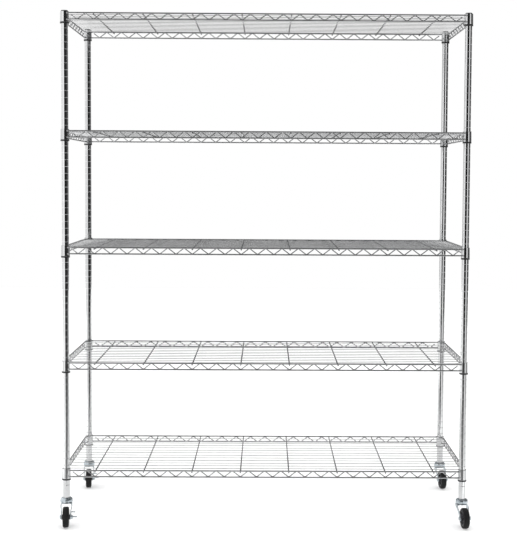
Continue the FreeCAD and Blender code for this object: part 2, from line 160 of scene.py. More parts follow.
def tinted(tree, value, dark, light):
    """A colour between dark and light."""
    ramp = add_node(tree, "ShaderNodeValToRGB")
    for stop, place, colour in ((0, NOISE_LOW, dark), (1, NOISE_HIGH, light)):
        ramp.color_ramp.elements[stop].position = place
        ramp.color_ramp.elements[stop].color = (*colour, 1)
    tree.links.new(value, ramp.inputs["Fac"])
    return ramp.outputs["Color"]


def bumped(tree, shader, value, depth, strength):
    bump = add_node(tree, "ShaderNodeBump", Strength=strength, Distance=depth)
    tree.links.new(value, bump.inputs["Height"])
    tree.links.new(bump.outputs["Normal"], shader.inputs["Normal"])


def chrome(name, dark, light, smooth, rough, stretch=(1, 1, 1)):
    """Bright chrome plate: faint clouding in its colour and polish, and drawing marks."""
    material, tree, shader = new_material(name, light, 1.0, smooth)
    tree.links.new(tinted(tree, noise(tree, 14, 4), dark, light), shader.inputs["Base Color"])
    tree.links.new(ranged(tree, noise(tree, 45, 5, stretch), smooth, rough),
                   shader.inputs["Roughness"])
    bumped(tree, shader, noise(tree, 260, 2, stretch), 0.00004, 0.1)
    return material


def zinc_plate(name):
    """Bright zinc plate with a bluish passivated cloud and a rolled grain."""
    material, tree, shader = new_material(name, (0.5, 0.55, 0.58), 1.0, 0.3)
    tree.links.new(tinted(tree, noise(tree, 90, 5), (0.33, 0.38, 0.41), (0.58, 0.63, 0.66)),
                   shader.inputs["Base Color"])
    tree.links.new(ranged(tree, noise(tree, 160, 4), 0.2, 0.4), shader.inputs["Roughness"])
    bumped(tree, shader, noise(tree, 900, 3), 0.00008, 0.35)
    return material


def moulded(name, dark, light, roughness, grain, depth, shine=0.5):
    """Moulded plastic or rubber: a fine grain and slightly uneven gloss."""
    material, tree, shader = new_material(name, light, 0.0, roughness)
    shader.inputs["Specular IOR Level"].default_value = shine
    tree.links.new(tinted(tree, noise(tree, 60, 4), dark, light), shader.inputs["Base Color"])
    tree.links.new(ranged(tree, noise(tree, 220, 4), roughness - 0.08, roughness + 0.1),
                   shader.inputs["Roughness"])
    bumped(tree, shader, noise(tree, grain, 4), depth, 0.5)
    return material


# All these chromes are one plating, and their base colours differ as painted light and shade. The deck
# wires' chrome is lightest, as painted light. The rails, truss wires and collars are darker than the posts.
# The cross wires, which lie under the deck wires, are darkest, as painted shade.
POST_CHROME = chrome("post_chrome", (0.54, 0.545, 0.55), (0.61, 0.615, 0.62), 0.05, 0.14, (1, 1, 0.12))
WIRE_CHROME = chrome("wire_chrome", (0.41, 0.415, 0.42), (0.5, 0.505, 0.51), 0.08, 0.2)
COLLAR_CHROME = chrome("collar_chrome", (0.48, 0.485, 0.49), (0.57, 0.575, 0.58), 0.07, 0.18)
DECK_CHROME_PAINTED_LIGHT = chrome("deck_chrome_painted_light", (0.63, 0.635, 0.64), (0.74, 0.745, 0.75), 0.08, 0.2)
CROSS_CHROME_PAINTED_SHADE = chrome("cross_chrome_painted_shade", (0.24, 0.245, 0.25), (0.32, 0.325, 0.33), 0.1, 0.22)
WELD = chrome("weld_chrome", (0.42, 0.42, 0.42), (0.62, 0.62, 0.62), 0.2, 0.42)
ZINC = zinc_plate("zinc_plate")
STEEL = chrome("ball_steel", (0.5, 0.5, 0.5), (0.6, 0.6, 0.6), 0.08, 0.2)
BLACK_PLASTIC = moulded("black_plastic", (0.012, 0.012, 0.013), (0.024, 0.024, 0.026), 0.42, 900, 0.00012)
WHEEL_PLASTIC = moulded("wheel_plastic", (0.02, 0.02, 0.023), (0.04, 0.04, 0.045), 0.4, 700, 0.0001)
TYRE_RUBBER = moulded("tyre_rubber", (0.006, 0.006, 0.0065), (0.013, 0.013, 0.013), 0.6, 1100, 0.00018, 0.2)

# ------------------------------------------------------------------ mesh making


# Only edges bent by more than this are bevelled.
BEVEL_ANGLE = math.radians(35)


class Skin:
    """Vertices and faces that grow one closed shell at a time."""

    def __init__(self):
        self.points = []
        self.faces = []

    def loft(self, rings, along=False):
        """Join closed rings of equally many points. along joins the last ring to the first."""
        start = len(self.points)
        count = len(rings[0])
        for ring in rings:
            self.points.extend(ring)
        for row in range(len(rings) if along else len(rings) - 1):
            below = start + row * count
            above = start + (row + 1) % len(rings) * count
            for column in range(count):
                after = (column + 1) % count
                self.faces.append((below + column, below + after, above + after, above + column))
        if not along:
            self.faces.append(tuple(range(start + count - 1, start - 1, -1)))
            last = start + (len(rings) - 1) * count
            self.faces.append(tuple(range(last, last + count)))

    def lathe(self, profile, place, steps, sweep=360.0, start=0.0):
        """Turn an outline of (radius, height) about the local Z axis.

        A whole turn of a closed outline makes a ring; part of a turn is closed by end faces.
        Radii of zero make the outline open at the axis and the shell closes there.
        """
        def spot(radius, height, turn):
            return place @ Vector((radius * math.cos(turn), radius * math.sin(turn), height))

        whole = sweep >= 360
        turns = [math.radians(start + sweep * step / steps) for step in range(steps + (not whole))]
        if profile[0][0] == 0:
            self.loft([[spot(*point, turn) for turn in turns] for point in profile[1:-1]])
        else:
            self.loft([[spot(*point, turn) for point in profile] for turn in turns], along=whole)

    def tube(self, path, radius, sides, dome=0.35):
        """A round wire along a path, with slightly domed ends."""
        tangents = [(after - before).normalized() for before, after in
                    zip([path[0]] + path[:-1], path[1:] + [path[-1]])]
        side = tangents[0].orthogonal().normalized()
        rings = []
        for point, tangent in zip(path, tangents):
            side = (side - tangent * side.dot(tangent)).normalized()
            other = tangent.cross(side)
            rings.append([point + radius * (math.cos(turn) * side + math.sin(turn) * other)
                          for turn in (2 * math.pi * step / sides for step in range(sides))])
        first, last = path[0], path[-1]
        cut = radius * dome
        face = 0.6
        head = [first + (point - first) * face for point in rings[0]]
        tail = [last + (point - last) * face for point in rings[-1]]
        rings[0] = [point + tangents[0] * cut for point in rings[0]]
        rings[-1] = [point - tangents[-1] * cut for point in rings[-1]]
        self.loft([head] + rings + [tail])

    def lump(self, place, size, sides=8, rows=5):
        """A small rounded lump of weld metal, with half axes size, turned by the place matrix."""
        rings = []
        for row in range(1, rows):
            lean = math.pi * row / rows
            rings.append([place @ Vector((size[0] * math.sin(lean) * math.cos(turn),
                                          size[1] * math.sin(lean) * math.sin(turn),
                                          -size[2] * math.cos(lean)))
                          for turn in (2 * math.pi * step / sides for step in range(sides))])
        self.loft(rings)

    def prism(self, outline, place, depth):
        """A flat outline in local XY, extruded by depth along local Z."""
        self.loft([[place @ Vector((x, y, z)) for x, y in outline] for z in (0, depth)])

    def finish(self, name, material, body, nodes, sharp=40, bevel=0.0):
        """Make the object, clean its mesh, hang it on the body it rides on and hide the frame parts it
        stands in for.

        Edges bent by more than sharp degrees stay sharp, and a bevel eases them first.
        """
        mesh = bpy.data.meshes.new(name)
        mesh.from_pydata(self.points, [], self.faces)
        work = bmesh.new()
        work.from_mesh(mesh)
        bmesh.ops.recalc_face_normals(work, faces=work.faces)
        if bevel:
            edges = [edge for edge in work.edges
                     if len(edge.link_faces) == 2 and edge.calc_face_angle() > BEVEL_ANGLE]
            bmesh.ops.bevel(work, geom=edges, offset=bevel, segments=2, affect="EDGES",
                            clamp_overlap=True)
        work.to_mesh(mesh)
        work.free()
        mesh.polygons.foreach_set("use_smooth", [True] * len(mesh.polygons))
        mesh.set_sharp_from_angle(angle=math.radians(sharp))
        mesh.materials.append(material)
        piece = bpy.data.objects.new(name, mesh)
        bpy.context.collection.objects.link(piece)
        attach(piece, body)
        if nodes:
            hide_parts(*nodes)


def rounded(points, radius, steps=4, closed=True):
    """Ease each corner of an outline with a curve that starts radius away from it.

    A further point just before and after each curve keeps the long sides' shading straight.
    """
    side_share = 0.48
    long_side = 3
    beyond = 1.3
    count = len(points)
    result = []
    for index, point in enumerate(points):
        corner = Vector(point)
        if not closed and index in (0, count - 1):
            result.append(tuple(corner))
            continue
        before = Vector(points[index - 1])
        after = Vector(points[(index + 1) % count])
        reach = min(radius, (before - corner).length * side_share,
                    (after - corner).length * side_share)
        start = corner + (before - corner).normalized() * reach
        end = corner + (after - corner).normalized() * reach
        if (before - corner).length > long_side * reach:
            result.append(tuple(corner.lerp(start, beyond)))
        for step in range(steps + 1):
            part = step / steps
            result.append(tuple(start.lerp(corner, part).lerp(corner.lerp(end, part), part)))
        if (after - corner).length > long_side * reach:
            result.append(tuple(corner.lerp(end, beyond)))
    return result


def scaled(points):
    """Millimetres to metres."""
    return [(across * MM, up * MM) for across, up in points]


def at(x, y, z):
    return Matrix.Translation((x, y, z))


# ------------------------------------------------------------------ posts and caps

GROOVE_PITCH = 25.4 * MM
GROOVE_COUNT = 70
GROOVE_DEPTH = 0.5 * MM
GROOVE_HALF = 0.9 * MM
LOWEST_GROOVE = RAIL_Z[1] - 5.2 * MM - 2 * GROOVE_PITCH
POST_WALL = 1.2 * MM


def post_outline():
    """The tube's section: the outer side with its rolled grooves, then the bore."""
    low, high = POST_LOW.z, POST_HIGH.z
    ease = 0.4 * MM
    half_steps = 4
    outline = [(POST_RADIUS - ease, low), (POST_RADIUS, low + ease), (POST_RADIUS, low + 2 * ease)]
    for index in range(GROOVE_COUNT):
        height = LOWEST_GROOVE + index * GROOVE_PITCH
        outline.append((POST_RADIUS, height - GROOVE_HALF - ease))
        for step in range(-half_steps, half_steps + 1):
            share = step / half_steps
            dip = GROOVE_DEPTH * (0.5 + 0.5 * math.cos(math.pi * share))
            outline.append((POST_RADIUS - dip, height + GROOVE_HALF * share))
        outline.append((POST_RADIUS, height + GROOVE_HALF + ease))
    outline += [(POST_RADIUS, high - 2 * ease), (POST_RADIUS, high - ease), (POST_RADIUS - ease, high),
                (POST_RADIUS - POST_WALL, high), (POST_RADIUS - POST_WALL, low)]
    return outline


def make_posts():
    outline = post_outline()
    for corner, centre in POSTS.items():
        skin = Skin()
        skin.lathe(outline, at(centre.x, centre.y, 0), 40)
        skin.finish("chrome_post_" + corner, POST_CHROME, "frame", ["post_" + corner])


def make_post_caps():
    low, high = box("post_caps")
    plug = POST_RADIUS - POST_WALL - 0.05 * MM
    outline = rounded([(0, low.z), (plug, low.z), (plug, POST_HIGH.z), (POST_RADIUS, POST_HIGH.z),
                       (POST_RADIUS, high.z), (0, high.z)], 1.8 * MM, 4, closed=False)
    skin = Skin()
    for centre in POSTS.values():
        skin.lathe(outline, at(centre.x, centre.y, 0), 40)
    skin.finish("plastic_post_caps", BLACK_PLASTIC, "frame", ["post_caps"])


# ------------------------------------------------------------------ collars and sleeves
# Radii and heights are in millimetres, about the post and the upper rails' centre line.

COLLAR_ABOVE = 6.5
COLLAR_BELOW = 32.0
COLLAR_TOP = 15.6
COLLAR_BOTTOM = 16.2
BORE_TOP = 14.2
BORE_BOTTOM = 15.0
SLEEVE_GAP = 0.06
SLEEVE_BORE = 12.75
FLANGE_RADIUS = 16.4
FLANGE_HEIGHT = 5.8
FLANGE_TOP = -COLLAR_BELOW - 0.3
SLEEVE_TOP = COLLAR_ABOVE - 1
SHELL_ANGLE = 177


def make_collars(shelf):
    outline = scaled(rounded([(BORE_BOTTOM, -COLLAR_BELOW), (COLLAR_BOTTOM, -COLLAR_BELOW),
                              (COLLAR_TOP, COLLAR_ABOVE), (BORE_TOP, COLLAR_ABOVE)], 0.7))
    skin = Skin()
    for centre in POSTS.values():
        skin.lathe(outline, at(centre.x, centre.y, RAIL_Z[shelf]), 48)
    skin.finish("collars_%d" % shelf, COLLAR_CHROME, "shelf_%d" % shelf,
                ["shelf_%d_collars" % shelf])


def make_sleeves(shelf):
    """Two tapered half shells on each post, with a flange that the collar stands on."""
    outline = [(SLEEVE_BORE, FLANGE_TOP - FLANGE_HEIGHT), (FLANGE_RADIUS, FLANGE_TOP - FLANGE_HEIGHT),
               (FLANGE_RADIUS, FLANGE_TOP), (BORE_BOTTOM - SLEEVE_GAP, FLANGE_TOP),
               (BORE_TOP - SLEEVE_GAP, SLEEVE_TOP), (SLEEVE_BORE, SLEEVE_TOP)]
    section = scaled(rounded(outline, 0.6, 2))
    first = (180 - SHELL_ANGLE) / 2
    skin = Skin()
    for centre in POSTS.values():
        for start in (first, first + 180):
            skin.lathe(section, at(centre.x, centre.y, RAIL_Z[shelf]), 24, SHELL_ANGLE, start)
    skin.finish("split_sleeves_%d" % shelf, BLACK_PLASTIC, "frame", ["sleeves_%d" % shelf])


# ------------------------------------------------------------------ shelf wires

RAIL_END_GAP = 11.2 * MM
BEND = 5 * MM
LONG_OVERLAP = 1.5 * MM
TRUSS_END_GAP = 25 * MM
LONG_WAVES = 23
SIDE_WAVES = 8
CROSS_COUNT = 8
CROSS_PITCH = 182 * MM
DECK_COUNT = 13
DECK_END = 0.7 * MM


def evenly(count, pitch):
    """Evenly spaced places about zero."""
    return [(index - (count - 1) / 2) * pitch for index in range(count)]


CROSS_X = [CENTRE_X + x for x in evenly(CROSS_COUNT, CROSS_PITCH)]
DECK_PITCH = 2 * (HALF_Y + RAIL_OUT) / (DECK_COUNT + 1)
DECK_Y = [CENTRE_Y + y for y in evenly(DECK_COUNT, DECK_PITCH)]


def make_rails(shelf):
    skin = Skin()
    top = RAIL_Z[shelf]
    for z in (top, top - RAIL_DROP):
        for sign in (-1, 1):
            y = CENTRE_Y + sign * (HALF_Y + RAIL_OUT)
            reach = HALF_X - RAIL_END_GAP
            skin.tube([Vector((CENTRE_X - reach, y, z)), Vector((CENTRE_X + reach, y, z))],
                      RAIL_RADIUS, 18)
            x = CENTRE_X + sign * (HALF_X + RAIL_OUT)
            reach = HALF_Y - RAIL_END_GAP
            skin.tube([Vector((x, CENTRE_Y - reach, z)), Vector((x, CENTRE_Y + reach, z))],
                      RAIL_RADIUS, 18)
    skin.finish("rails_%d" % shelf, WIRE_CHROME, "shelf_%d" % shelf,
                ["shelf_%d_rails" % shelf])


def zigzag(half_pitch, height, waves, reach):
    """Points (along, up) of a wire bent to and fro, with straight legs joined by arcs."""
    arc_steps = 6
    spare = 2 * BEND - height
    slope = math.asin(2 * BEND / math.hypot(half_pitch, spare)) - math.atan2(spare, half_pitch)
    last_leg = reach - half_pitch * waves - BEND * math.sin(slope)
    end_rise = BEND * (1 - math.cos(slope)) + last_leg * math.tan(slope)
    points = [(-reach, end_rise)]
    for index in range(2 * waves + 1):
        centre = (index - waves) * half_pitch
        low = index % 2 == 0
        for step in range(-arc_steps, arc_steps + 1):
            lean = slope * step / arc_steps
            rise = BEND * (1 - math.cos(lean))
            points.append((centre + BEND * math.sin(lean), rise if low else height - rise))
    points.append((reach, end_rise))
    return points


TOUCH = RAIL_RADIUS + TRUSS_RADIUS
LONG_HALF_PITCH = CROSS_PITCH / 6
LONG_ZIGZAG = zigzag(LONG_HALF_PITCH, RAIL_DROP - 2 * LONG_OVERLAP, LONG_WAVES,
                     HALF_X - TRUSS_END_GAP)
SIDE_REACH = HALF_Y - TRUSS_END_GAP
SIDE_HALF_PITCH = SIDE_REACH / (SIDE_WAVES + 0.75)
SIDE_ZIGZAG = zigzag(SIDE_HALF_PITCH, RAIL_DROP - 2 * TOUCH, SIDE_WAVES, SIDE_REACH)


def make_truss_wires(shelf):
    skin = Skin()
    bottom = RAIL_Z[shelf] - RAIL_DROP
    inset = math.sqrt(TOUCH ** 2 - LONG_OVERLAP ** 2)
    for sign in (-1, 1):
        y = CENTRE_Y + sign * (HALF_Y + RAIL_OUT - inset)
        skin.tube([Vector((CENTRE_X + along, y, bottom + LONG_OVERLAP + up))
                   for along, up in LONG_ZIGZAG], TRUSS_RADIUS, 12)
        x = CENTRE_X + sign * (HALF_X + RAIL_OUT)
        skin.tube([Vector((x, CENTRE_Y + along, bottom + TOUCH + up))
                   for along, up in SIDE_ZIGZAG], TRUSS_RADIUS, 12)
    skin.finish("truss_wires_%d" % shelf, WIRE_CHROME, "shelf_%d" % shelf,
                ["shelf_%d_truss_wires" % shelf], 60)


def make_cross_wires(shelf):
    skin = Skin()
    z = RAIL_Z[shelf] - RAIL_RADIUS - CROSS_RADIUS
    reach = HALF_Y + RAIL_OUT + RAIL_RADIUS - 0.4 * MM
    for x in CROSS_X:
        skin.tube([Vector((x, CENTRE_Y - reach, z)), Vector((x, CENTRE_Y + reach, z))],
                  CROSS_RADIUS, 16, 0.5)
    skin.finish("cross_wires_%d" % shelf, CROSS_CHROME_PAINTED_SHADE, "shelf_%d" % shelf,
                ["shelf_%d_cross_wires" % shelf])


def make_deck_wires(shelf):
    skin = Skin()
    z = RAIL_Z[shelf] - RAIL_RADIUS + DECK_RADIUS
    reach = HALF_X + RAIL_OUT - RAIL_RADIUS + DECK_END
    for y in DECK_Y:
        skin.tube([Vector((CENTRE_X - reach, y, z)), Vector((CENTRE_X + reach, y, z))],
                  DECK_RADIUS, 12)
    skin.finish("deck_wires_%d" % shelf, DECK_CHROME_PAINTED_LIGHT, "shelf_%d" % shelf,
                ["shelf_%d_deck_wires" % shelf])


# Half axes of the weld lumps along X, Y and Z.
DECK_WELD = (1.5 * MM, 1.7 * MM, 0.7 * MM)
CROSS_WELD = (2.0 * MM, 1.5 * MM, 0.7 * MM)
LONG_TRUSS_WELD = (2.4 * MM, 0.7 * MM, 1.1 * MM)
SIDE_TRUSS_WELD = (1.1 * MM, 2.2 * MM, 0.7 * MM)
LONG_RAIL_WELD = (2.2 * MM, 3.2 * MM, 3.3 * MM)
SIDE_RAIL_WELD = (3.2 * MM, 2.2 * MM, 3.3 * MM)


def make_welds(shelf):
    """The small lumps of the resistance welds, wherever two wires touch."""
    skin = Skin()
    top = RAIL_Z[shelf]
    bottom = top - RAIL_DROP
    contact = top - RAIL_RADIUS
    for x in CROSS_X:
        for y in DECK_Y:
            skin.lump(at(x, y, contact), DECK_WELD)
        for sign in (-1, 1):
            y = CENTRE_Y + sign * (HALF_Y + RAIL_OUT)
            skin.lump(at(x, y, contact), CROSS_WELD)
    for sign in (-1, 1):
        inner = sign * (RAIL_RADIUS * 0.9)
        y = CENTRE_Y + sign * (HALF_Y + RAIL_OUT) - inner
        for index in range(2 * LONG_WAVES + 1):
            x = CENTRE_X + (index - LONG_WAVES) * LONG_HALF_PITCH
            z = top - 0.8 * MM if index % 2 else bottom + 0.8 * MM
            skin.lump(at(x, y, z), LONG_TRUSS_WELD)
        x = CENTRE_X + sign * (HALF_X + RAIL_OUT)
        for index in range(2 * SIDE_WAVES + 1):
            y = CENTRE_Y + (index - SIDE_WAVES) * SIDE_HALF_PITCH
            z = contact if index % 2 else bottom + RAIL_RADIUS
            skin.lump(at(x, y, z), SIDE_TRUSS_WELD)
    rail_end = RAIL_END_GAP + 0.8 * MM
    for centre in POSTS.values():
        right = 1 if centre.x > CENTRE_X else -1
        back = 1 if centre.y > CENTRE_Y else -1
        for z in (top, bottom):
            skin.lump(at(centre.x - right * rail_end, centre.y + back * RAIL_OUT, z),
                      LONG_RAIL_WELD, 12, 7)
            skin.lump(at(centre.x + right * RAIL_OUT, centre.y - back * rail_end, z),
                      SIDE_RAIL_WELD, 12, 7)
    skin.finish("welds_%d" % shelf, WELD, "shelf_%d" % shelf, ())


# ------------------------------------------------------------------ casters
# Outlines are in millimetres about the stem, with the floor at 0 and the wheel trailing to -Y.

ROLL_AXIS = joint("caster_front_left_roll")["axis"]
CASTER_TURN = math.atan2(ROLL_AXIS[1], ROLL_AXIS[0])
CASTER_HEIGHT = POST_LOW.z / MM
WHEEL_RADIUS = middle("caster_front_left_tyre").z / MM
TRAIL = 45.0
AXLE_RADIUS = 4.0
CROWN_TOP = CASTER_HEIGHT - 18
FORK_SHEET = 2.5
FORK_HALF = 18.0
FLARE = 4.0
FLARE_START = 18.0
FOOT_RADIUS = 10
LEVER_GAP = 0.3
LEVER_SHEET = 2.0
TAB_WIDTH = 8
TAB_SHEET = 2.3
HEXAGON_RADIUS = 7.4
NUT_HEIGHT = 4.5
CAP_RADIUS = 22.9
CAP_INNER_RADIUS = 21
CAP_RIM = CASTER_HEIGHT - 16.5
CAP_SHELL = 2
STEM_RADIUS = 5
NECK_RADIUS = 6.1
BOSS_RADIUS = 14
BOSS_TOP = CROWN_TOP + 4.1
TYRE_INNER_RADIUS = 27.0
TYRE_HALF_WIDTH = 11.0
TYRE_SHOULDER = 5.0


def caster_place(corner):
    """From the caster's own frame, in millimetres, to the rack's."""
    centre = POSTS[corner]
    turn = Matrix.Rotation(CASTER_TURN, 4, "Z")
    return at(centre.x, centre.y, 0) @ turn @ Matrix.Scale(MM, 4)


def axle_place(corner):
    """The axle's frame: local Z points along the axle, to the caster's own +X."""
    laid = Matrix.Rotation(math.radians(90), 4, "Y")
    return caster_place(corner) @ at(0, -TRAIL, WHEEL_RADIUS) @ laid


def make_race_caps():
    """Pressed domes that cover the ball rings."""
    top = CASTER_HEIGHT
    outer = [(STEM_RADIUS, top), (17.5, top), (CAP_RADIUS, top - 5.5), (CAP_RADIUS, CAP_RIM)]
    inner = [(CAP_INNER_RADIUS, CAP_RIM), (CAP_INNER_RADIUS, top - 6.4),
             (16.6, top - CAP_SHELL), (STEM_RADIUS, top - CAP_SHELL)]
    outline = rounded(outer + inner, 3.2, 5)
    skin = Skin()
    for corner in CORNERS:
        skin.lathe(outline, caster_place(corner), 56)
    skin.finish("race_caps", ZINC, "frame", ["caster_race_caps"])


def fork_section():
    """Points (x, z) along the middle of the fork's sheet, from one leg's foot to the other's."""
    foot = WHEEL_RADIUS - 9.5
    side = FORK_HALF - FORK_SHEET / 2
    crown = CROWN_TOP - FORK_SHEET / 2
    right = [(side, foot), (side, WHEEL_RADIUS + FLARE_START), (side + FLARE, CROWN_TOP - 11),
             (side + FLARE - 1.6, CROWN_TOP - 3.2), (side + FLARE - 7.5, crown), (0, crown)]
    left = [(-x, z) for x, z in reversed(right[:-1])]
    return rounded(right + left, 5, 4, closed=False)


def resampled(points, step):
    """Points no further apart than step along a line of points."""
    result = [Vector(points[0])]
    for start, end in zip(points, points[1:]):
        start, end = Vector(start), Vector(end)
        count = max(1, math.ceil((end - start).length / step))
        result += [start.lerp(end, index / count) for index in range(1, count + 1)]
    return result


def fork_edges(across, height):
    """How far the sheet reaches to the front and to the back at this height or place.

    The crown is oval from above, the legs narrow evenly towards the axle and the feet are round.
    """
    shoulder = CROWN_TOP - 8
    if height > shoulder:
        oval_half = 33
        bow = math.sqrt(max(0.0, 1 - (across / oval_half) ** 2))
        return -22 * bow - 1.0, 18.5 * bow
    if height < WHEEL_RADIUS:
        reach = math.sqrt(max(0.0, FOOT_RADIUS ** 2 - (WHEEL_RADIUS - height) ** 2))
        return -TRAIL - reach, -TRAIL + reach
    down = (shoulder - height) / (shoulder - WHEEL_RADIUS)
    front, back = -18.5, 14
    return (front + (-TRAIL - FOOT_RADIUS - front) * down,
            back + (-TRAIL + FOOT_RADIUS - back) * down)


def make_fork(corner):
    """A pressed sheet: a domed crown and two legs that narrow to round ends at the axle."""
    line = resampled(fork_section(), 2.2)
    place = caster_place(corner)
    rows = 12
    skin = Skin()
    tangents = [(after - before).normalized() for before, after in
                zip([line[0]] + line[:-1], line[1:] + [line[-1]])]
    sheets = []
    for side in (0.5, -0.5):
        sheet = []
        for spot, tangent in zip(line, tangents):
            outward = Vector((tangent.y, -tangent.x)) * FORK_SHEET * side
            front, back = fork_edges(spot.x, spot.y)
            x, z = spot + outward
            sheet.append([(x, front + (back - front) * row / rows, z) for row in range(rows + 1)])
        sheets.append(sheet)
    rings = [[place @ Vector(point) for point in outer + inner[::-1]]
             for outer, inner in zip(*sheets)]
    skin.loft(rings)
    boss = [(NECK_RADIUS, CROWN_TOP - 1), (BOSS_RADIUS, CROWN_TOP - 1), (BOSS_RADIUS, BOSS_TOP),
            (NECK_RADIUS, BOSS_TOP)]
    skin.lathe(rounded(boss, 0.8, 3), place, 32)
    skin.finish("pressed_fork_" + corner, ZINC, "caster_%s_swivel" % corner,
                ["caster_%s_fork" % corner], 35, 0.25 * MM)


def hexagon(radius):
    return [(radius * math.cos(math.radians(60 * step)), radius * math.sin(math.radians(60 * step)))
            for step in range(6)]


def make_axle(corner, braked):
    """A hexagon-headed bolt through both legs, and its nut with the bolt's end showing."""
    place = axle_place(corner)
    nut_start = FORK_HALF + (2 * LEVER_GAP + LEVER_SHEET if braked else 0)
    skin = Skin()
    for start in (-FORK_HALF - NUT_HEIGHT, nut_start):
        rings = []
        for height, radius in ((0, HEXAGON_RADIUS - 0.4), (0.4, HEXAGON_RADIUS),
                               (NUT_HEIGHT - 0.7, HEXAGON_RADIUS), (NUT_HEIGHT, HEXAGON_RADIUS - 0.9)):
            level = start + (NUT_HEIGHT - height if start < 0 else height)
            rings.append([place @ Vector((x, y, level)) for x, y in hexagon(radius)])
        skin.loft(rings)
    end = nut_start + NUT_HEIGHT + 1
    shank = rounded([(0, -FORK_HALF - 0.5), (AXLE_RADIUS, -FORK_HALF - 0.5), (AXLE_RADIUS, end),
                     (0, end)], 0.8, 3, closed=False)
    skin.lathe(shank, place, 24)
    skin.finish("axle_bolt_" + corner, ZINC, "caster_%s_swivel" % corner,
                ["caster_%s_axle" % corner], 30)


def make_wheel_core(corner):
    """A moulded wheel centre: hub, web and rim, stiffened by ribs on both faces."""
    place = axle_place(corner)
    rim, hub, bore = 26.9, 9.5, AXLE_RADIUS + 0.06
    hub_half, web_half, rim_half = 15.2, 3, 10
    half = [(bore, hub_half), (hub, hub_half), (hub + 0.8, web_half), (22.8, web_half),
            (23.6, rim_half), (rim, rim_half)]
    outline = half + [(radius, -height) for radius, height in reversed(half)]
    skin = Skin()
    skin.lathe(rounded(outline, 0.9, 3), place, 48)
    ribs = 6
    for index in range(ribs):
        for face in (-1, 1):
            turn = Matrix.Rotation(math.radians(360 / ribs * index), 4, "Z")
            side = [(hub - 0.5, -1.1), (23.4, -0.8), (23.4, 0.8), (hub - 0.5, 1.1)]
            skin.prism(side, place @ turn @ at(0, 0, 2.5 if face > 0 else -8.5), 6)
    skin.finish("ribbed_core_" + corner, WHEEL_PLASTIC, "caster_%s_wheel" % corner,
                ["caster_%s_wheel_core" % corner], 35)


def make_tyre(corner):
    """A rubber tyre: rounded shoulders, a flat tread and a fine mould seam."""
    place = axle_place(corner)
    seam = 0.15
    ease = 0.8
    steps = 8
    side = [(TYRE_INNER_RADIUS, TYRE_HALF_WIDTH - ease), (TYRE_INNER_RADIUS + ease, TYRE_HALF_WIDTH)]
    for step in range(steps + 1):
        lean = math.radians(90 * step / steps)
        side.append((WHEEL_RADIUS - seam - TYRE_SHOULDER * (1 - math.sin(lean)),
                     TYRE_HALF_WIDTH - TYRE_SHOULDER * (1 - math.cos(lean))))
    side += [(WHEEL_RADIUS - seam, 0.5), (WHEEL_RADIUS, 0.2)]
    outline = side + [(radius, -height) for radius, height in reversed(side)]
    skin = Skin()
    skin.lathe(outline, place, 72)
    skin.finish("rubber_tyre_" + corner, TYRE_RUBBER, "caster_%s_wheel" % corner,
                ["caster_%s_tyre" % corner], 50)


def make_brake_lever(corner):
    """A rocking plate outside the fork leg, with two finger tabs bent outwards."""
    place = axle_place(corner) @ Matrix.Rotation(math.radians(90), 4, "Z")
    # In this frame X runs with the caster's own Y, Y runs with its Z, and Z lies along the axle.
    outline = [(7, -3), (6, 6), (-6, 23), (-14, 23), (-21, 17), (-29, 9.5), (-29, 4), (-8, -5),
               (0, -8)]
    inner = FORK_HALF + LEVER_GAP
    skin = Skin()
    skin.prism(rounded(outline, 5, 4), place @ at(0, 0, inner), LEVER_SHEET)
    upright = place @ Matrix(((0, 1, 0, 0), (0, 0, 1, 0), (1, 0, 0, 0), (0, 0, 0, 1)))
    for along, up, reach in ((-14, 20.5, 15), (-29, 6.5, 22)):
        end = inner + LEVER_SHEET + reach
        tab = [(inner, along), (end, along), (end, along + TAB_WIDTH), (inner, along + TAB_WIDTH)]
        skin.prism(rounded(tab, 2.6, 4), upright @ at(0, 0, up), TAB_SHEET)
    skin.finish("pressed_lever_" + corner, ZINC, "caster_%s_brake" % corner,
                ["caster_%s_brake_lever" % corner], 35, 0.3 * MM)


# ------------------------------------------------------------------ making everything

make_posts()
make_post_caps()
for number in SHELVES:
    make_collars(number)
    make_sleeves(number)
    make_rails(number)
    make_truss_wires(number)
    make_cross_wires(number)
    make_deck_wires(number)
    make_welds(number)
make_race_caps()
for name in CORNERS:
    has_brake = "caster_%s_brake" % name in frame["bodies"]
    make_fork(name)
    make_axle(name, has_brake)
    make_wheel_core(name)
    make_tyre(name)
    if has_brake:
        make_brake_lever(name)

for node, material in (("caster_inserts", ZINC), ("caster_stems", ZINC), ("caster_balls", STEEL)):
    mesh = frame["nodes"][node].data
    mesh.materials.clear()
    mesh.materials.append(material)

# ------------------------------------------------------------------ floor, light and camera


def make_floor():
    """A plain pale floor that ends in front of the rack, out of the camera's sight."""
    material, tree, shader = new_material("floor", (0.93, 0.93, 0.93), 0.0, 0.9)
    tree.links.new(tinted(tree, noise(tree, 3, 3), (0.92, 0.92, 0.92), (0.94, 0.94, 0.94)),
                   shader.inputs["Base Color"])
    side, front, back = 7, -0.9, 9
    mesh = bpy.data.meshes.new("floor")
    mesh.from_pydata([(-side, front, 0), (side, front, 0), (side, back, 0), (-side, back, 0)], [],
                     [(0, 1, 2, 3)])
    mesh.materials.append(material)
    floor = bpy.data.objects.new("floor", mesh)
    bpy.context.collection.objects.link(floor)


# Brightness of the studio's walls by bearing, in turns: 0 is the front and 0.25 the right.
WALLS = [(0.0, 0.02), (0.06, 0.02), (0.12, 0.04), (0.2, 0.05), (0.29, 0.2), (0.46, 0.25), (0.54, 0.4),
         (0.64, 0.5), (0.84, 0.5), (0.865, 0.4), (0.885, 0.02)]
# The ceiling comes in above the walls and the ground below them, between these heights of the
# view direction.
CEILING_START = 0.5
CEILING_FULL = 0.8
CEILING_LIGHT = 0.35
GROUND_START = -0.1
GROUND_FULL = -0.3
GROUND_LIGHT = 0.45


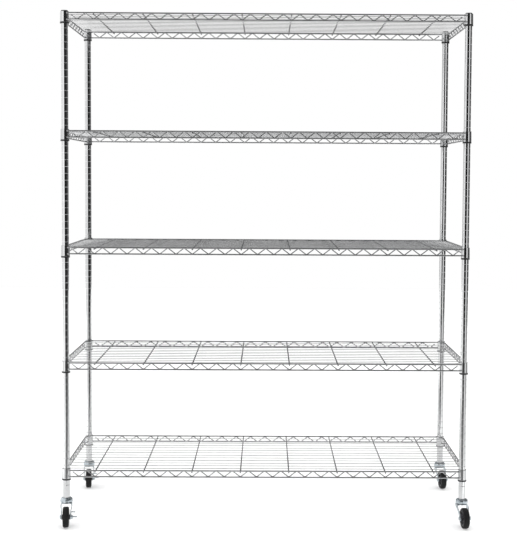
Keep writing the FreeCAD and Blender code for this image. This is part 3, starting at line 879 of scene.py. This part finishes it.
def make_world():
    """A studio whose front is dark, which only the glossy pieces mirror.

    Behind the rack the camera sees plain white, and the floor is left to the daylight.
    """
    world = bpy.data.worlds.new("studio")
    bpy.context.scene.world = world
    world.use_nodes = True
    tree = world.node_tree
    link = tree.links.new
    place = add_node(tree, "ShaderNodeTexCoord")
    split = add_node(tree, "ShaderNodeSeparateXYZ")
    link(place.outputs["Generated"], split.inputs["Vector"])
    forward = add_node(tree, "ShaderNodeMath", operation="MULTIPLY")
    forward.inputs[1].default_value = -1
    link(split.outputs["Y"], forward.inputs[0])
    angle = add_node(tree, "ShaderNodeMath", operation="ARCTAN2")
    link(split.outputs["X"], angle.inputs[0])
    link(forward.outputs[0], angle.inputs[1])
    turns = add_node(tree, "ShaderNodeMath", operation="DIVIDE")
    turns.inputs[1].default_value = 2 * math.pi
    link(angle.outputs[0], turns.inputs[0])
    bearing = add_node(tree, "ShaderNodeMath", operation="FRACT")
    link(turns.outputs[0], bearing.inputs[0])
    walls = add_node(tree, "ShaderNodeValToRGB")
    stops = walls.color_ramp.elements
    stops[0].position, stops[1].position = WALLS[0][0], WALLS[-1][0]
    for spot, _ in WALLS[1:-1]:
        stops.new(spot)
    for element, (spot, light) in zip(stops, WALLS):
        element.color = (light, light, light, 1)
    link(bearing.outputs[0], walls.inputs["Fac"])
    height = add_node(tree, "ShaderNodeMapRange", interpolation_type="SMOOTHSTEP")
    height.inputs["From Min"].default_value = CEILING_START
    height.inputs["From Max"].default_value = CEILING_FULL
    link(split.outputs["Z"], height.inputs["Value"])
    sides = tree.nodes["Background"]
    link(walls.outputs["Color"], sides.inputs["Color"])
    ceiling = add_node(tree, "ShaderNodeBackground", Color=(1, 1, 1, 1), Strength=CEILING_LIGHT)
    room = add_node(tree, "ShaderNodeMixShader")
    link(height.outputs["Result"], room.inputs["Fac"])
    link(sides.outputs["Background"], room.inputs[1])
    link(ceiling.outputs["Background"], room.inputs[2])
    depth = add_node(tree, "ShaderNodeMapRange", interpolation_type="SMOOTHSTEP")
    depth.inputs["From Min"].default_value = GROUND_START
    depth.inputs["From Max"].default_value = GROUND_FULL
    link(split.outputs["Z"], depth.inputs["Value"])
    ground = add_node(tree, "ShaderNodeBackground", Color=(1, 1, 1, 1), Strength=GROUND_LIGHT)
    whole = add_node(tree, "ShaderNodeMixShader")
    link(depth.outputs["Result"], whole.inputs["Fac"])
    link(room.outputs["Shader"], whole.inputs[1])
    link(ground.outputs["Background"], whole.inputs[2])
    ray = add_node(tree, "ShaderNodeLightPath")
    unlit = add_node(tree, "ShaderNodeBackground", Color=(0, 0, 0, 1), Strength=0.0)
    mirrored = add_node(tree, "ShaderNodeMixShader")
    link(ray.outputs["Is Diffuse Ray"], mirrored.inputs["Fac"])
    link(whole.outputs["Shader"], mirrored.inputs[1])
    link(unlit.outputs["Background"], mirrored.inputs[2])
    backdrop = add_node(tree, "ShaderNodeBackground", Color=(1, 1, 1, 1), Strength=1.0)
    choose = add_node(tree, "ShaderNodeMixShader")
    link(ray.outputs["Is Camera Ray"], choose.inputs["Fac"])
    link(mirrored.outputs["Shader"], choose.inputs[1])
    link(backdrop.outputs["Background"], choose.inputs[2])
    link(choose.outputs["Shader"], tree.nodes["World Output"].inputs["Surface"])


def add_panel(name, start, end, low, high, light, spread=180):
    """An upright panel between two points of the floor plan, lit on the left of start to end.

    It is mirrored in the chrome but adds no light to the floor.
    """
    start, end = Vector((*start, 0)), Vector((*end, 0))
    along = end - start
    data = bpy.data.lights.new(name, "AREA")
    data.shape = "RECTANGLE"
    data.size, data.size_y = along.length, high - low
    data.energy = light * math.pi * data.size * data.size_y
    data.spread = math.radians(spread)
    facing = UP.cross(along).normalized()
    lamp = bpy.data.objects.new(name, data)
    lamp.location = (start + end) / 2 + UP * (low + high) / 2
    lamp.rotation_mode = "QUATERNION"
    lamp.rotation_quaternion = facing.to_track_quat("-Z", "Y")
    lamp.visible_camera = False
    lamp.visible_diffuse = False
    bpy.context.collection.objects.link(lamp)


def add_daylight(light):
    """Light from above without shadows, which whitens the floor but isn't mirrored in the chrome."""
    data = bpy.data.lights.new("daylight", "SUN")
    data.energy = light * math.pi
    data.angle = math.radians(120)
    data.use_shadow = False
    lamp = bpy.data.objects.new("daylight", data)
    lamp.visible_glossy = False
    bpy.context.collection.objects.link(lamp)


CAMERA_DISTANCE = 4.6998
CAMERA_HEIGHT = 1.3125
CAMERA_ASIDE = 0.0015
CAMERA_PITCH, CAMERA_YAW, CAMERA_ROLL = (math.radians(angle) for angle in (3.308, -0.484, 0.3265))


def make_camera():
    """A long lens, as high as the gap between the third and fourth shelves and almost square on."""
    data = bpy.data.cameras.new("camera")
    data.sensor_width = 36.0
    data.lens = 79.386
    data.shift_x = -0.0328
    data.shift_y = -0.0449
    data.clip_end = 100
    camera = bpy.data.objects.new("camera", data)
    camera.location = (CENTRE_X + CAMERA_ASIDE, CENTRE_Y - CAMERA_DISTANCE, CAMERA_HEIGHT)
    camera.rotation_mode = "QUATERNION"
    camera.rotation_quaternion = (Matrix.Rotation(CAMERA_YAW, 3, "Z")
                                  @ Matrix.Rotation(math.pi / 2 - CAMERA_PITCH, 3, "X")
                                  @ Matrix.Rotation(CAMERA_ROLL, 3, "Z")).to_quaternion()
    bpy.context.collection.objects.link(camera)
    bpy.context.scene.camera = camera


make_floor()
make_world()
add_panel("left_wall", (-2.0, 2.2), (-1.11, -1.99), 0.0, 2.6, 0.75)
add_panel("left_box", (-1.6, -1.0), (-0.9, -0.9), 0.0, 2.6, 0.75)
add_panel("right_box", (0.88, -0.6), (1.4, -0.58), 0.0, 2.3, 0.8, 120)
add_daylight(1.38)
make_camera()
bpy.context.scene.view_settings.view_transform = "Standard"
